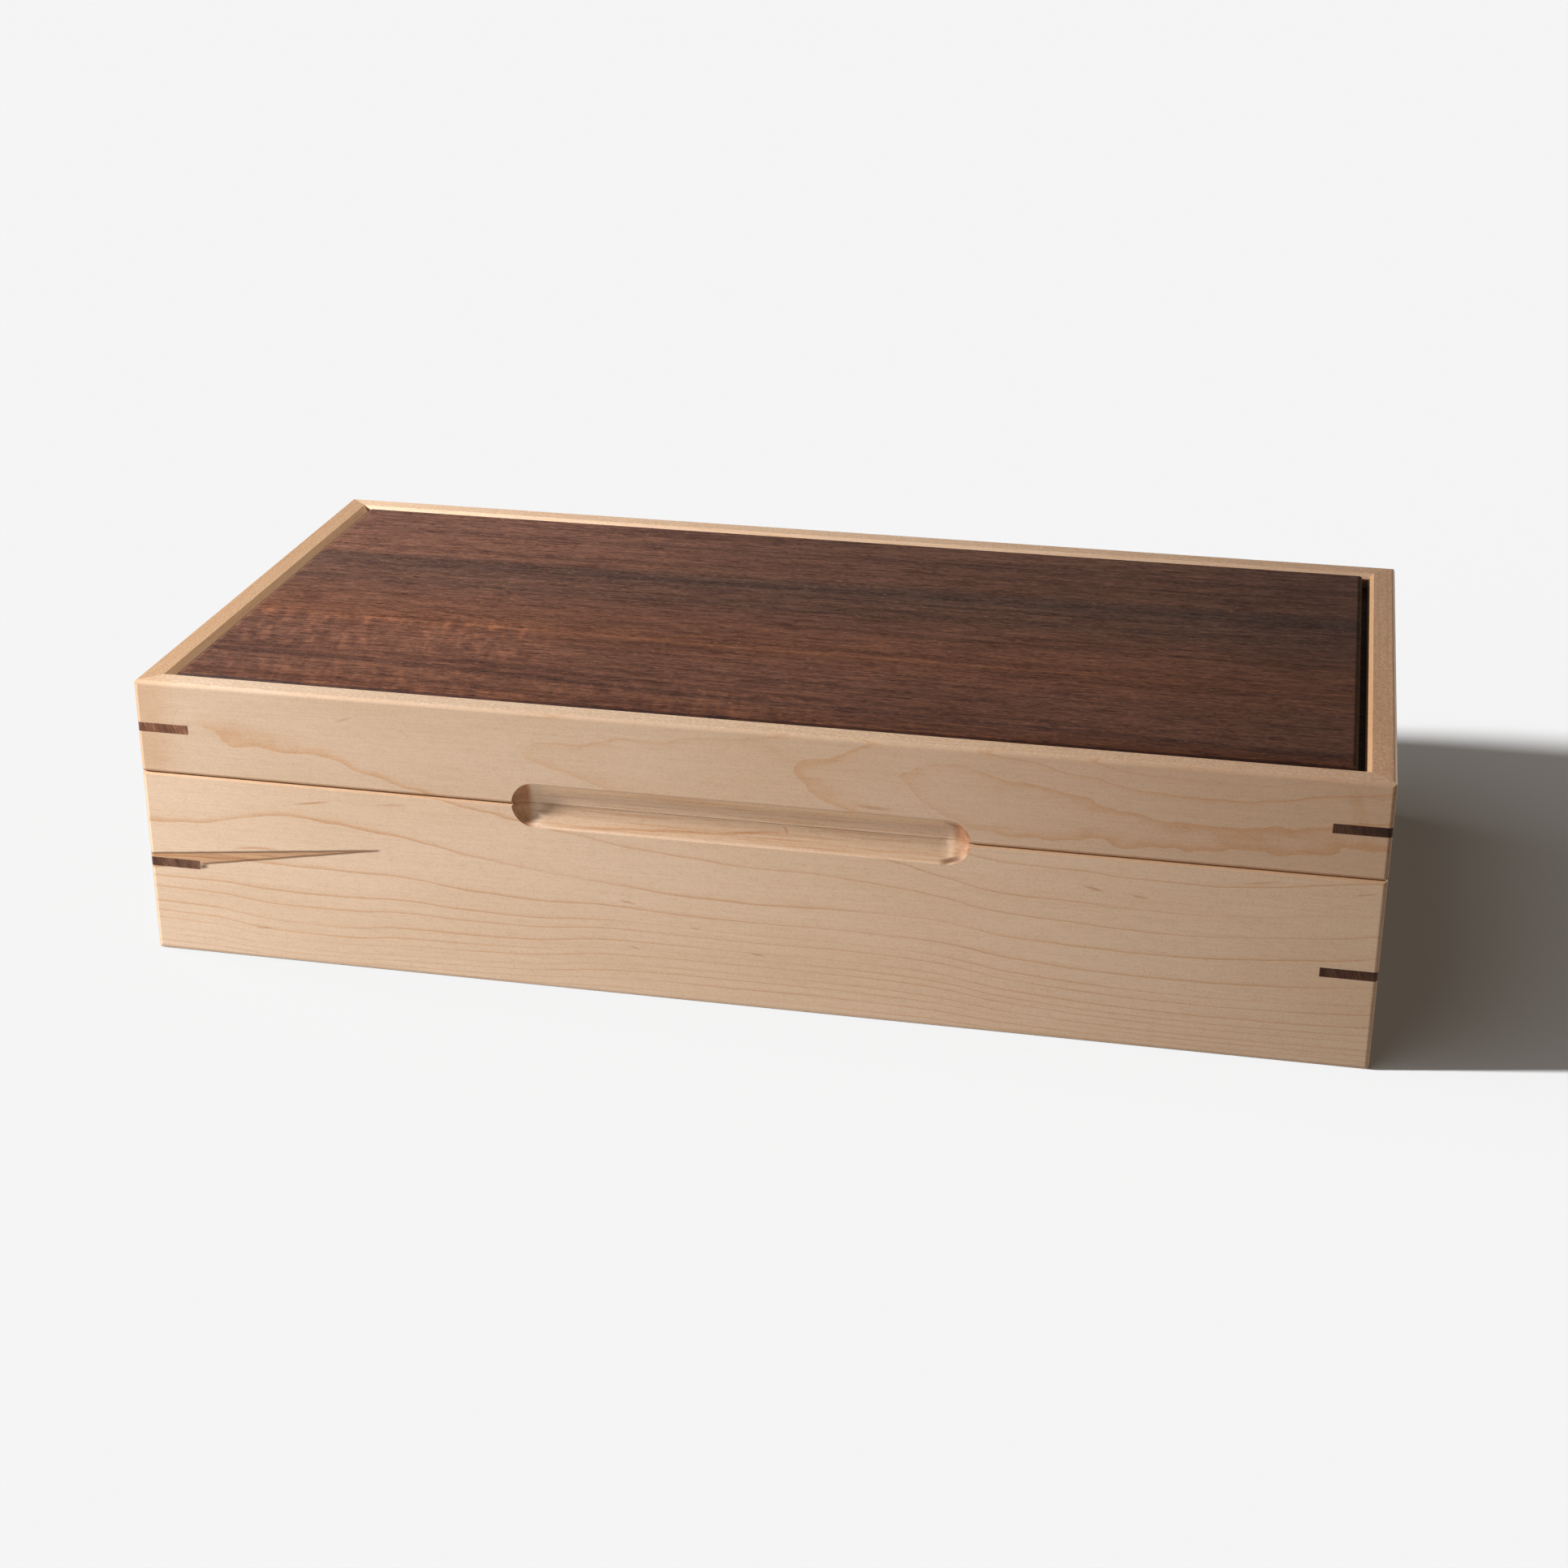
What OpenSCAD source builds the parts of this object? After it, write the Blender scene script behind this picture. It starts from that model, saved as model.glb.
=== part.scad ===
// Hinged wooden keepsake box. Two mitred frames, each locked by a dark spline through every
// corner, close on one another; the lid frame carries a floating panel, the base frame a
// floor panel. Two stop hinges at the back let the lid swing a little past upright.
// Millimetres, +Z up, front towards -Y. The origin is the centre of the underside of the
// bounding box, which takes in the hinge knuckles behind the back wall.

/* [Box] */
// Outside width of the box
box_w = 305; // [260:1:400]
// Outside depth of the wooden walls
box_d = 155; // [120:1:250]
// Height of the closed box
box_h = 73.6; // [72:0.1:110]
// Height of the seam between base and lid
seam_z = 49.3; // [40:0.1:50]
// Thickness of the walls and rails
wall_t = 7.2; // [7:0.1:9]
// Gap between the base and the closed lid
seam_gap = 0.1; // [0.04:0.02:0.2]

/* [Edges] */
// Rounding of the outside edges
edge_r = 1; // [0.4:0.1:2]
// Rounding of the two edges that meet at the seam
seam_r = 0.8; // [0.3:0.1:1.5]
// Chamfer along the inner top edge of the lid rails
rail_chamfer = 1.5; // [0.5:0.1:2.5]

/* [Lid panel] */
// Full thickness of the panel
panel_t = 7.4; // [6:0.1:8]
// How far the panel lies below the top of the rails
panel_drop = 0.1; // [0:0.1:1]
// Thickness of the panel's tongue
panel_tongue_t = 3.1; // [2:0.1:4]
// Rounding of the panel's top edges
panel_edge_r = 1.4; // [0.5:0.1:2.5]
// Gap between the panel and the left rail
panel_gap_left = 0.9; // [0.3:0.1:2]
// Gap between the panel and the right rail
panel_gap_right = 1.5; // [0.3:0.1:2]
// Gap between the panel and the front rail
panel_gap_front = 0.5; // [0.3:0.1:2]
// Gap between the panel and the back rail
panel_gap_back = 0.4; // [0.3:0.1:2]

/* [Floor] */
// Height of the floor panel's underside above the table
floor_z = 4; // [2:0.5:10]
// Thickness of the floor panel
floor_t = 4; // [3:0.5:6]
// Thickness of the lining
lining_t = 1.5; // [1:0.1:3]
// Gap between the lining and the walls
lining_gap = 0.5; // [0.2:0.1:2]

/* [Grooves] */
// Depth of the grooves that hold the two panels
groove_depth = 3.6; // [2:0.1:4.5]
// Room between a panel's edge and the bottom of its groove
groove_room = 0.6; // [0.2:0.1:1.5]
// Play of a panel in its groove
groove_play = 0.15; // [0.05:0.05:0.4]

/* [Corner splines] */
// Thickness of a spline
spline_t = 2.4; // [1.5:0.1:4]
// Length of a spline along each outside face
spline_run = 13.4; // [8:0.1:13.8]
// Height of the splines in the base
base_spline_z = 24.65; // [15:0.05:32]
// Height of the splines in the lid
lid_spline_z = 61.4; // [55:0.1:62.5]

/* [Finger pull] */
// Length of the pull, tip to tip
pull_len = 112.6; // [40:0.1:180]
// Depth of the pull
pull_depth = 2; // [1:0.1:3]
// Radius of the ball-nosed cutter that makes it
cutter_r = 9.5; // [6:0.5:16]

/* [Hinges] */
// Distance of each hinge's middle from the middle of the box
hinge_x = 97; // [60:1:100]
// Length of a hinge
hinge_len = 38; // [34:1:50]
// Length of its middle knuckle, which belongs to the lid
mid_knuckle_len = 18.4; // [8:0.2:20]
// Gap between neighbouring knuckles, end to end
knuckle_gap = 0.2; // [0.1:0.05:0.5]
// Thickness of a leaf
leaf_t = 1.8; // [1.4:0.1:2]
// Reach of a leaf from the pin's axis towards the front
leaf_reach = 6.5; // [6.3:0.1:7]
// Distance of the pin's axis behind the back wall
axis_out = 0.6; // [0.3:0.1:1]
// Radius of the knuckles
knuckle_r = 2.4; // [2:0.1:2.6]
// Radius of the stop heels that wrap the knuckles
heel_r = 3.4; // [3.2:0.1:3.6]
// Radius of the pin
pin_r = 1; // [0.7:0.05:1.2]
// Running clearance between the pin and the lid's knuckle
pin_clearance = 0.05; // [0.02:0.01:0.1]
// Angle at which the stops meet
stop_angle = 95; // [85:1:110]

/* [Screws] */
// Length of a screw
screw_len = 9; // [6:0.5:12]
// Outer radius of the thread
thread_r = 0.95; // [0.8:0.05:1.1]
// Pitch of the thread
thread_pitch = 0.9; // [0.6:0.1:1.2]
// Radius of the countersunk head
head_r = 1.6; // [1.4:0.05:1.7]
// Spacing of the screws along a leaf
screw_spacing = 13; // [11:0.5:15]

/* [Hidden] */
$fn = 64;
EPS = 1;
MAPLE = [0.86, 0.76, 0.62];
WALNUT = [0.36, 0.23, 0.17];
BRASS = [0.80, 0.66, 0.36];
FELT = [0.20, 0.27, 0.24];

// Sides run anticlockwise from the front; side i lies between corners i and i + 1
FRONT = 0;
BACK = 2;
SIDE_NAMES = ["front", "right", "back", "left"];
CORNERS = [[-1, -1], [1, -1], [1, 1], [-1, 1]];
CORNER_NAMES = ["front_left", "front_right", "back_right", "back_left"];
HINGES = [-1, 1];
HINGE_NAMES = ["left", "right"];

inner_w = box_w - 2 * wall_t;
inner_d = box_d - 2 * wall_t;
base_top = seam_z - seam_gap / 2;
lid_bottom = seam_z + seam_gap / 2;
panel_top = box_h - panel_drop;
panel_z = panel_top - panel_t;
tongue = groove_depth - groove_room;
hinge_proud = axis_out + knuckle_r;
axis_y = box_d / 2 + axis_out;
heel_room = 0.05;
knuckle_room = 0.2;
stop_margin = 0.1;
screw_y = -(leaf_reach + heel_r - 0.5) / 2;
head_sink = 0.1;
root_r = thread_r - 0.25;
neck_z = head_sink + 0.2 + head_r - thread_r;
tip_len = 1.3;
thread_turns = floor((screw_len - neck_z - tip_len) / thread_pitch);

// ---- Helpers ----

// Extrudes a drawing of the Y-Z plane along X
module along_x(len) {
    rotate([90, 0, 90])
        linear_extrude(height = len, center = true)
            children();
}

// Extrudes a drawing of the X-Z plane along Y
module along_y(len) {
    rotate([90, 0, 0])
        linear_extrude(height = len, center = true)
            children();
}

// Rectangle of width w between two heights, its low and high corners rounded
module eased_rect(w, low, high, r_low, r_high) {
    middle = (low + high) / 2;
    for (side = [-1, 1]) {
        if (r_low > 0)
            translate([side * (w / 2 - r_low), low + r_low]) circle(r = r_low);
        if (r_high > 0)
            translate([side * (w / 2 - r_high), high - r_high]) circle(r = r_high);
    }
    translate([-w / 2, low + r_low]) square([w, high - low - r_low - r_high]);
    translate([r_low - w / 2, low]) square([w - 2 * r_low, middle - low]);
    translate([r_high - w / 2, middle]) square([w - 2 * r_high, high - middle]);
}

// Block with rounded upright corners and rounded edges below and above
module eased_block(w, d, low, high, r_low, r_high, r_plan) {
    intersection() {
        translate([0, 0, low])
            linear_extrude(height = high - low)
                eased_rect(w, -d / 2, d / 2, r_plan, r_plan);
        along_y(d + EPS) eased_rect(w, low, high, r_low, r_high);
        along_x(w + EPS) eased_rect(d, low, high, r_low, r_high);
    }
}

// Box centred on the Z axis between two heights
module centred_box(w, d, low, high) {
    translate([-w / 2, -d / 2, low]) cube([w, d, high - low]);
}

// A point on the diagonal of a corner, n inside it
function on_diagonal(i, n) =
    [CORNERS[i % 4].x * (box_w / 2 - n), CORNERS[i % 4].y * (box_d / 2 - n)];

// The ground that one side takes between its two mitres
module side_wedge(side, low, high) {
    inside = 2 * wall_t;
    translate([0, 0, low - EPS])
        linear_extrude(height = high - low + 2 * EPS)
            polygon([
                on_diagonal(side, -EPS),
                on_diagonal(side + 1, -EPS),
                on_diagonal(side + 1, inside),
                on_diagonal(side, inside)
            ]);
}

// Triangle across a corner, running past the outside faces by extra
module spline_plan(corner, extra) {
    s = CORNERS[corner];
    far_x = box_w / 2 + extra;
    far_y = box_d / 2 + extra;
    reach = spline_run + 2 * extra;
    polygon([
        [s.x * far_x, s.y * far_y],
        [s.x * (far_x - reach), s.y * far_y],
        [s.x * far_x, s.y * (far_y - reach)]
    ]);
}

// The kerfs that the splines of one frame are glued into
module spline_kerfs(z) {
    for (corner = [0:3])
        translate([0, 0, z - spline_t / 2])
            linear_extrude(height = spline_t)
                spline_plan(corner, EPS);
}

// One spline, trimmed flush with the rounded corner
module spline(corner, z) {
    color(WALNUT)
        translate([0, 0, z - spline_t / 2])
            linear_extrude(height = spline_t)
                intersection() {
                    spline_plan(corner, EPS);
                    eased_rect(box_w, -box_d / 2, box_d / 2, edge_r, edge_r);
                }
}

// ---- Frames ----

// Cross-section of one frame: outside face at 0, inside face at wall_t
module frame_profile(low, high, r_low, r_high, groove_z, groove_h) {
    difference() {
        intersection() {
            translate([wall_t, 0]) eased_rect(2 * wall_t, low, high, r_low, r_high);
            translate([0, low]) square([wall_t, high - low]);
        }
        translate([wall_t - groove_depth, groove_z])
            square([groove_depth + EPS, groove_h]);
    }
}

// Cross-section of the lid frame, with the chamfer beside the panel
module lid_profile() {
    difference() {
        frame_profile(
            lid_bottom, box_h, seam_r, edge_r, panel_z, panel_tongue_t + groove_play
        );
        polygon([
            [wall_t + EPS, box_h - rail_chamfer - EPS],
            [wall_t + EPS, box_h + EPS],
            [wall_t - rail_chamfer - EPS, box_h + EPS]
        ]);
    }
}

// Runs a cross-section along one side, mitred at both ends and rounded at the corners
module mitred_side(side, low, high) {
    run = side % 2 == 0 ? box_w : box_d;
    out = side % 2 == 0 ? box_d / 2 : box_w / 2;
    intersection() {
        rotate([0, 0, 90 * side])
            translate([0, -out, 0])
                along_x(run)
                    children();
        side_wedge(side, low, high);
        translate([0, 0, low - EPS])
            linear_extrude(height = high - low + 2 * EPS)
                eased_rect(box_w, -box_d / 2, box_d / 2, edge_r, edge_r);
    }
}

// One side of the base frame
module base_wall(side) {
    color(MAPLE)
        difference() {
            mitred_side(side, 0, base_top)
                frame_profile(0, base_top, edge_r, seam_r, floor_z, floor_t + groove_play);
            spline_kerfs(base_spline_z);
            if (side == FRONT) finger_pull();
            if (side == BACK) hinge_seats(-1);
        }
}

// One side of the lid frame
module lid_rail(side) {
    color(MAPLE)
        difference() {
            mitred_side(side, lid_bottom, box_h) lid_profile();
            spline_kerfs(lid_spline_z);
            if (side == FRONT) finger_pull();
            if (side == BACK) hinge_seats(1);
        }
}

// Sweep of the ball-nosed cutter along the seam of the front
module finger_pull() {
    half_chord = sqrt(cutter_r * cutter_r - pow(cutter_r - pull_depth, 2));
    travel = pull_len / 2 - half_chord;
    translate([0, -box_d / 2 - cutter_r + pull_depth, seam_z]) {
        rotate([0, 90, 0]) cylinder(r = cutter_r, h = 2 * travel, center = true);
        for (side = [-1, 1])
            translate([side * travel, 0, 0]) sphere(r = cutter_r);
    }
}

// Seats of both hinges in the back of one frame; up is 1 in the lid and -1 in the base
module hinge_seats(up) {
    for (h = HINGES)
        translate([h * hinge_x, axis_y, seam_z]) {
            along_x(hinge_len + 2 * heel_room) {
                circle(r = heel_r + heel_room);
                leaf_seat_plan(up);
            }
            mirror([0, 0, up > 0 ? 1 : 0]) each_screw() pilot_hole();
        }
}

// Side view of the shallow pocket that a leaf lies in
module leaf_seat_plan(up) {
    translate([-leaf_reach - heel_room, up > 0 ? -EPS : -leaf_t])
        square([leaf_reach + EPS, leaf_t + EPS]);
}

// Hole in the wood for a screw's thread
module pilot_hole() {
    end_room = 0.3;
    translate([0, 0, -screw_len - end_room]) cylinder(r = thread_r, h = screw_len);
}

// ---- Panels and lining ----

// The lid's panel: a raised field standing in the frame on a tongue all round
module lid_panel() {
    field_w = inner_w - panel_gap_left - panel_gap_right;
    field_d = inner_d - panel_gap_front - panel_gap_back;
    off_x = (panel_gap_left - panel_gap_right) / 2;
    off_y = (panel_gap_front - panel_gap_back) / 2;
    color(WALNUT) {
        translate([off_x, off_y, 0])
            eased_block(field_w, field_d, panel_z, panel_top, 0, panel_edge_r, panel_edge_r / 2);
        centred_box(
            inner_w + 2 * tongue, inner_d + 2 * tongue, panel_z, panel_z + panel_tongue_t
        );
    }
}

// The base's floor, held in a groove in its four walls
module base_floor_panel() {
    color(MAPLE)
        centred_box(inner_w + 2 * tongue, inner_d + 2 * tongue, floor_z, floor_z + floor_t);
}

// Felt laid on the floor
module base_lining() {
    top = floor_z + floor_t + lining_t;
    color(FELT)
        centred_box(
            inner_w - 2 * lining_gap, inner_d - 2 * lining_gap, floor_z + floor_t, top
        );
}

// ---- Hinges; the pin's axis is the X axis and the base leaf lies below ----

// Ground of the base leaf's heel: from its stop face round below the pin to the plate
module heel_plan() {
    far = 2 * heel_r;
    stop = stop_angle / 2 + stop_margin;
    intersection() {
        circle(r = heel_r);
        polygon([
            [0, -seam_gap / 2],
            [0, 0],
            [far * cos(stop), -far * sin(stop)],
            [far, -2 * far],
            [-far, -2 * far],
            [-far, -seam_gap / 2]
        ]);
    }
}

// Side view of the base leaf's plate and heel
module leaf_plan() {
    translate([-leaf_reach, -leaf_t])
        square([leaf_reach, leaf_t - seam_gap / 2]);
    heel_plan();
}

// Base leaf. Its knuckles stand at the ends, or in the middle for the lid's leaf
module leaf(mid_knuckle, bore_r) {
    end_len = (hinge_len - mid_knuckle_len) / 2;
    color(BRASS)
        difference() {
            union() {
                along_x(hinge_len)
                    difference() {
                        leaf_plan();
                        circle(r = knuckle_r + knuckle_room);
                    }
                if (mid_knuckle) knuckle(0, mid_knuckle_len - knuckle_gap);
                else
                    for (side = [-1, 1])
                        knuckle(
                            side * (hinge_len - end_len + knuckle_gap / 2) / 2,
                            end_len - knuckle_gap / 2
                        );
            }
            rotate([0, 90, 0]) cylinder(r = bore_r, h = hinge_len + EPS, center = true);
            each_screw() countersink();
        }
}

// A knuckle with its web to the plate, centred at x
module knuckle(x, len) {
    translate([x, 0, 0])
        along_x(len) {
            circle(r = knuckle_r);
            intersection() {
                circle(r = heel_r);
                leaf_plan();
            }
        }
}

// The places of one leaf's screws
module each_screw() {
    for (i = [-1, 0, 1])
        translate([i * screw_spacing, screw_y, -seam_gap / 2])
            children();
}

// Hole through a leaf for a screw and its head
module countersink() {
    translate([0, 0, -leaf_t - EPS]) cylinder(r = thread_r + 0.1, h = leaf_t + 2 * EPS);
    rotate_extrude()
        polygon([
            [0, EPS],
            [head_r + 0.05, EPS],
            [head_r + 0.05, -head_sink - 0.2],
            [thread_r, -head_sink - 0.25 - head_r + thread_r],
            [0, -head_sink - 0.25 - head_r + thread_r]
        ]);
}

// Slotted countersunk wood screw, pointing down from the face of the leaf
module wood_screw() {
    slot_w = 0.5;
    slot_depth = 0.45;
    difference() {
        rotate_extrude()
            polygon(concat(
                [[0, -head_sink], [head_r, -head_sink], [head_r, -head_sink - 0.2]],
                [[thread_r, -neck_z]],
                [for (i = [0:2 * thread_turns - 1])
                    [i % 2 == 0 ? root_r : thread_r, -neck_z - (i + 1) * thread_pitch / 2]],
                [[root_r, tip_len - screw_len], [0, -screw_len]]
            ));
        translate([-head_r - EPS, -slot_w / 2, -head_sink - slot_depth])
            cube([2 * (head_r + EPS), slot_w, slot_depth + EPS]);
    }
}

// Moves one hinge's parts to its place
module at_hinge(h) {
    translate([HINGES[h] * hinge_x, axis_y, seam_z]) children();
}

// Turns a part of the base leaf into the same part of the lid leaf
module as_lid_leaf() {
    mirror([0, 0, 1]) children();
}

// Hinge pin with eased ends, tight in the base's knuckles
module hinge_pin() {
    ease = 0.3;
    half = hinge_len / 2;
    color(BRASS)
        rotate([0, 90, 0])
            rotate_extrude()
                polygon([
                    [0, -half],
                    [pin_r - ease, -half],
                    [pin_r, ease - half],
                    [pin_r, half - ease],
                    [pin_r - ease, half],
                    [0, half]
                ]);
}

// Six screws of one frame, three in each of its leaves
module leaf_screws(in_lid) {
    color(BRASS)
        for (h = [0, 1])
            at_hinge(h)
                mirror([0, 0, in_lid ? 1 : 0])
                    each_screw()
                        wood_screw();
}

// ---- The assembly ----

// Brings the box from its own middle to the middle of the bounding box
module placed() {
    translate([0, -hinge_proud / 2, 0]) children();
}

for (i = [0:3]) {
    placed() base_wall(i);
    placed() lid_rail(i);
    placed() spline(i, base_spline_z);
    placed() spline(i, lid_spline_z);
}
for (h = [0, 1]) {
    placed() at_hinge(h) leaf(false, pin_r);
    placed() at_hinge(h) as_lid_leaf() leaf(true, pin_r + pin_clearance);
    placed() at_hinge(h) hinge_pin();
}
placed() base_floor_panel();
placed() base_lining();
placed() lid_panel();
placed() leaf_screws(false);  // base_leaf_screws
placed() leaf_screws(true);  // lid_leaf_screws
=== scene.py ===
"""Looks for the hinged keepsake box: maple frame, walnut lid panel, walnut corner splines."""

import math

import bmesh
import bpy
from mathutils import Matrix, Vector, noise


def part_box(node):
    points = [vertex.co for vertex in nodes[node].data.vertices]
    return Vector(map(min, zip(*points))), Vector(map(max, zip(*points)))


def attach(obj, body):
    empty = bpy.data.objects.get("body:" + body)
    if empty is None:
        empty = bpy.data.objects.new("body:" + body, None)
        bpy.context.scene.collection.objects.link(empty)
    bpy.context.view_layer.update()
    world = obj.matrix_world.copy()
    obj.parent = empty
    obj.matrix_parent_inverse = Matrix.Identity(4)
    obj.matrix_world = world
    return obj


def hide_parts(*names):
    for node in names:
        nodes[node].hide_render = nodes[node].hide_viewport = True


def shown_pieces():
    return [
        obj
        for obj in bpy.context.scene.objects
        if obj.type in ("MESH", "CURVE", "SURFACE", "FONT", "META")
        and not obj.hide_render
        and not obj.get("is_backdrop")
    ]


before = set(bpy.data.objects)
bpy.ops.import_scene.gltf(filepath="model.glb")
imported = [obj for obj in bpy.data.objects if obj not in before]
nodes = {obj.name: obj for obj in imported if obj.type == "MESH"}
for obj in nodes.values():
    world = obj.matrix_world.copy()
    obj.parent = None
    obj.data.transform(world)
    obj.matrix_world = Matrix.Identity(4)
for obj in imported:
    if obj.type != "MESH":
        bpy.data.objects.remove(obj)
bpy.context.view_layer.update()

MM = 0.001
SIDES = ("front", "right", "back", "left")
CORNERS = ("front_left", "front_right", "back_right", "back_left")

# The box of the wooden walls, in metres. Grain is drawn in millimetres from its front left corner.
FRONT_LOW, FRONT_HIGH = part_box("base_front_wall")
LEFT, RIGHT = FRONT_LOW[0], FRONT_HIGH[0]
FRONT = FRONT_LOW[1]
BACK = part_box("base_back_wall")[1][1]
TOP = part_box("lid_front_rail")[1][2]
LENGTH_MM = (RIGHT - LEFT) / MM
DEPTH_MM = (BACK - FRONT) / MM
TOP_MM = TOP / MM
SEAM_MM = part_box("lid_front_rail")[0][2] / MM


# ---------------------------------------------------------------- node helpers


class Val:
    """A number inside a node tree; +, -, * and / add Math nodes, so fields read as formulas."""

    def __init__(self, shader, socket):
        self.shader = shader
        self.socket = socket

    def __add__(self, other):
        return self.shader.math("ADD", self, other)

    def __radd__(self, other):
        return self.shader.math("ADD", other, self)

    def __sub__(self, other):
        return self.shader.math("SUBTRACT", self, other)

    def __rsub__(self, other):
        return self.shader.math("SUBTRACT", other, self)

    def __mul__(self, other):
        return self.shader.math("MULTIPLY", self, other)

    def __rmul__(self, other):
        return self.shader.math("MULTIPLY", other, self)

    def __truediv__(self, other):
        return self.shader.math("DIVIDE", self, other)

    def __rtruediv__(self, other):
        return self.shader.math("DIVIDE", other, self)


class Shader:
    """One material, with short names for the nodes it needs."""

    def __init__(self, name):
        self.material = bpy.data.materials.new(name)
        self.material.use_nodes = True
        self.tree = self.material.node_tree
        self.tree.nodes.clear()
        coords = self.tree.nodes.new("ShaderNodeTexCoord")
        self.position = coords.outputs["Object"]
        self.normal = coords.outputs["Normal"]

    def put(self, socket, value):
        """Links a value to the socket, or sets it there if it is a constant."""
        if isinstance(value, Val):
            value = value.socket
        if isinstance(value, bpy.types.NodeSocket):
            self.tree.links.new(value, socket)
        else:
            socket.default_value = value

    def node(self, kind, inputs=None, **props):
        """A new node with those properties and inputs."""
        made = self.tree.nodes.new(kind)
        for key, value in props.items():
            setattr(made, key, value)
        for key, value in (inputs or {}).items():
            self.put(made.inputs[key], value)
        return made

    def math(self, operation, *values):
        """One Math node over the given values."""
        made = self.node("ShaderNodeMath", operation=operation)
        for socket, value in zip(made.inputs, values):
            self.put(socket, value)
        return Val(self, made.outputs[0])

    def axes(self, vector, unit=1.0):
        """The three numbers of a vector, each divided by unit."""
        made = self.node("ShaderNodeSeparateXYZ", {0: vector})
        return [Val(self, out) / unit if unit != 1.0 else Val(self, out) for out in made.outputs]

    def vector(self, x, y, z):
        """Three numbers joined into a vector."""
        return self.node("ShaderNodeCombineXYZ", {0: x, 1: y, 2: z}).outputs[0]

    def ramp(self, value, low, high, start=0.0, end=1.0):
        """A smooth step from start at low to end at high."""
        made = self.node(
            "ShaderNodeMapRange",
            {0: value, 1: low, 2: high, 3: start, 4: end},
            interpolation_type="SMOOTHSTEP",
        )
        return Val(self, made.outputs[0])

    def window(self, value, low, high, soft):
        """1 between low and high, falling smoothly to 0 over soft outside them."""
        rise = self.ramp(value, low - soft, low)
        fall = self.ramp(value, high, high + soft, 1.0, 0.0)
        return rise * fall

    def profile(self, value, points):
        """A smooth curve through listed (input, output) points, level outside them."""
        xs = [p[0] for p in points]
        ys = [p[1] for p in points]
        x0, x_span = xs[0], xs[-1] - xs[0]
        y0, y_span = min(ys), max(ys) - min(ys)
        made = self.node("ShaderNodeFloatCurve", {1: (value - x0) / x_span})
        mapping = made.mapping
        mapping.extend = "HORIZONTAL"
        curve = mapping.curves[0]
        curve.points[0].location = (0.0, (ys[0] - y0) / y_span)
        curve.points[1].location = (1.0, (ys[-1] - y0) / y_span)
        for x, y in points[1:-1]:
            curve.points.new((x - x0) / x_span, (y - y0) / y_span)
        mapping.update()
        return Val(self, made.outputs[0]) * y_span + y0

    def noise(self, uvw, sizes, seed=0.0, detail=2.0, rough=0.5, distort=0.0):
        """Noise of about 0.5, with features of the given sizes in mm along u, v and w."""
        u, v, w = uvw
        where = self.vector(u / sizes[0] + seed, v / sizes[1] + seed * 1.7, w / sizes[2])
        made = self.node(
            "ShaderNodeTexNoise",
            {"Vector": where, "Scale": 1.0, "Detail": detail, "Roughness": rough},
        )
        made.inputs["Distortion"].default_value = distort
        return Val(self, made.outputs[0])

    def mix(self, amount, a, b, blend="MIX"):
        """Colour a where amount is 0 and b, or their blend, where it is 1."""
        made = self.node("ShaderNodeMix", data_type="RGBA", blend_type=blend)
        self.put(made.inputs[0], amount)
        self.put(made.inputs[6], a if not isinstance(a, tuple) else (*a, 1.0))
        self.put(made.inputs[7], b if not isinstance(b, tuple) else (*b, 1.0))
        return made.outputs[2]

    def tint(self, colour, amount, factor):
        """colour multiplied by factor, as far as amount says."""
        return self.mix(amount, colour, factor, blend="MULTIPLY")

    def colours(self, value, stops):
        """A colour ramp through (position, colour) stops."""
        made = self.node("ShaderNodeValToRGB", {0: value})
        band = made.color_ramp
        band.interpolation = "EASE"
        for i, (at, colour) in enumerate(stops):
            if i < 2:
                element = band.elements[i]
                element.position = at
            else:
                element = band.elements.new(at)
            element.color = (*colour, 1.0)
        return made.outputs[0]

    def bump(self, height, distance, strength):
        """A surface normal tilted by that height, over a distance in metres."""
        inputs = {"Height": height, "Distance": distance, "Strength": strength}
        return self.node("ShaderNodeBump", inputs).outputs[0]

    def finish(self, last):
        """Links the last shader node to the material's output and gives the material."""
        self.node("ShaderNodeOutputMaterial", {0: last.outputs[0]})
        return self.material

    def surface(self, colour, roughness, normal, **fixed):
        """The finished material; fixed holds constants by socket name, _ for a space."""
        inputs = {"Base Color": colour, "Roughness": roughness, "Normal": normal}
        made = self.node("ShaderNodeBsdfPrincipled", inputs)
        for key, value in fixed.items():
            made.inputs[key.replace("_", " ")].default_value = value
        return self.finish(made)

    def dash(self, u, v, start, end, width):
        """A short soft stroke from start to end, as a mask."""
        run, rise = end[0] - start[0], end[1] - start[1]
        length = math.hypot(run, rise)
        c, s = run / length, rise / length
        along = ((u - start[0]) * c + (v - start[1]) * s) / length
        across = self.math("ABSOLUTE", (v - start[1]) * c - (u - start[0]) * s)
        taper = 1.0 - self.math("POWER", self.math("ABSOLUTE", along * 2.0 - 1.0), 2.0)
        body = self.ramp(across / width, 0.1, 0.5, 1.0, 0.0)
        return body * self.math("MAXIMUM", taper, 0.0)


# ---------------------------------------------------------------- maple

MAPLE_PALE = (0.800, 0.600, 0.445)
MAPLE_DEEP = (0.765, 0.560, 0.400)
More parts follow.
